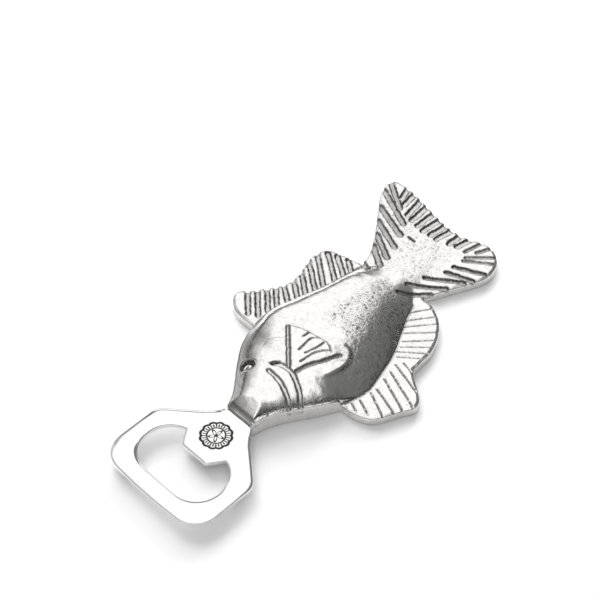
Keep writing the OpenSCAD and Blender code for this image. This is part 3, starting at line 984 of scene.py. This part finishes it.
AIM = Vector((15.5, 23.7, 0)) * MM       # the point of the floor in the middle of the view
HEADING = math.radians(44.8)             # the way the camera looks, from +X towards +Y
RISE = math.radians(49)                  # the camera's height above the horizon
DISTANCE = 0.6188                        # from the camera to that point of the floor
FLOOR_DROP = 0.00002                     # keeps the floor clear of the casting's flat back
AHEAD = Vector((math.cos(HEADING), math.sin(HEADING), 0))
RIGHT = Vector((math.sin(HEADING), -math.cos(HEADING), 0))
UP = Vector((0, 0, 1))


def camera():
    data = bpy.data.cameras.new("camera")
    data.lens, data.sensor_width = 102, 36
    data.clip_start, data.clip_end = 0.01, 20
    cam = bpy.data.objects.new("camera", data)
    back = -AHEAD * math.cos(RISE) + UP * math.sin(RISE)
    cam.location = AIM + back * DISTANCE
    cam.rotation_euler = (-back).to_track_quat("-Z", "Y").to_euler()
    bpy.context.scene.collection.objects.link(cam)
    bpy.context.scene.camera = cam


def floor():
    mesh = bpy.data.meshes.new("floor")
    side = 4.0
    mesh.from_pydata([(x * side, y * side, 0) for x, y in ((-1, -1), (1, -1), (1, 1), (-1, 1))],
                     [], [(0, 1, 2, 3)])
    s = Shader("floor", {"Base Color": grey(0.96), "Roughness": 0.9, "Specular IOR Level": 0.0})
    mesh.materials.append(s.material)
    plane = bpy.data.objects.new("floor", mesh)
    plane.location.z = -FLOOR_DROP
    bpy.context.scene.collection.objects.link(plane)


def softbox(name, place, size, power):
    """An area light aimed at the opener; place is (right, ahead, up) in metres.

    It lights the floor and makes the shadows, and mirror reflections leave it out."""
    data = bpy.data.lights.new(name, "AREA")
    data.shape, data.size, data.energy = "DISK", size, power
    light = bpy.data.objects.new(name, data)
    light.location = RIGHT * place[0] + AHEAD * place[1] + UP * place[2]
    light.rotation_euler = (-light.location).to_track_quat("-Z", "Y").to_euler()
    light.visible_glossy = False
    bpy.context.scene.collection.objects.link(light)


def studio():
    """What the metal mirrors, and the plain pale backdrop that the camera sees.

    It is bright ahead and overhead, and dim to the sides, behind the camera and at the horizon."""
    world = bpy.data.worlds.new("studio")
    bpy.context.scene.world = world
    world.use_nodes = True
    nodes, links = world.node_tree.nodes, world.node_tree.links
    nodes.clear()
    coord = nodes.new("ShaderNodeTexCoord")

    def toward(direction):
        dot = nodes.new("ShaderNodeVectorMath")
        dot.operation = "DOT_PRODUCT"
        links.new(coord.outputs["Generated"], dot.inputs[0])
        dot.inputs[1].default_value = direction
        return dot.outputs["Value"]

    def levels(value, stops):
        ramp_node = nodes.new("ShaderNodeValToRGB")
        half = nodes.new("ShaderNodeMath")
        half.operation = "MULTIPLY_ADD"
        links.new(value, half.inputs[0])
        half.inputs[1].default_value, half.inputs[2].default_value = 0.5, 0.5
        links.new(half.outputs[0], ramp_node.inputs[0])
        ramp_node.color_ramp.interpolation = "EASE"
        points = ramp_node.color_ramp.elements
        while len(points) < len(stops):
            points.new(0.5)
        for point, (place, level) in zip(points, stops):
            point.position, point.color = place / 2 + 0.5, grey(level)
        return ramp_node.outputs[0]

    def combine(blend, a, b):
        node = nodes.new("ShaderNodeMix")
        node.data_type, node.blend_type = "RGBA", blend
        node.inputs[0].default_value = 1
        links.new(a, node.inputs[6])
        links.new(b, node.inputs[7])
        return node.outputs[2]

    sideways = levels(toward(RIGHT), [(-1, 0.26), (-0.7, 0.26), (-0.62, 0.34), (-0.26, 0.95),
                                      (-0.2, 1), (0.27, 1), (0.42, 0.17), (1, 0.13)])
    depth = levels(toward(AHEAD), [(-1, 0.34), (-0.75, 0.34), (-0.5, 0.8), (-0.35, 1), (1, 1)])
    height = levels(toward(UP), [(-1, 1), (0, 0.1), (0.15, 0.16), (0.32, 0.9), (0.4, 1), (1, 1)])
    around = combine("MULTIPLY", combine("MULTIPLY", sideways, depth), height)
    sky = nodes.new("ShaderNodeBackground")
    links.new(around, sky.inputs[0])
    sky.inputs[1].default_value = 1.2
    plain = nodes.new("ShaderNodeBackground")
    plain.inputs[0].default_value, plain.inputs[1].default_value = grey(0.93), 1
    path = nodes.new("ShaderNodeLightPath")
    choose = nodes.new("ShaderNodeMixShader")
    out = nodes.new("ShaderNodeOutputWorld")
    links.new(path.outputs["Is Camera Ray"], choose.inputs[0])
    links.new(sky.outputs[0], choose.inputs[1])
    links.new(plain.outputs[0], choose.inputs[2])
    links.new(choose.outputs[0], out.inputs[0])


camera()
floor()
studio()
softbox("key", (-0.38, 0.85, 0.62), 0.95, 11)
softbox("back", (0.3, 0.95, 0.36), 0.45, 7)
softbox("fill", (0.2, -0.3, 1.2), 0.8, 0.4)
bpy.context.scene.view_settings.view_transform = "Standard"
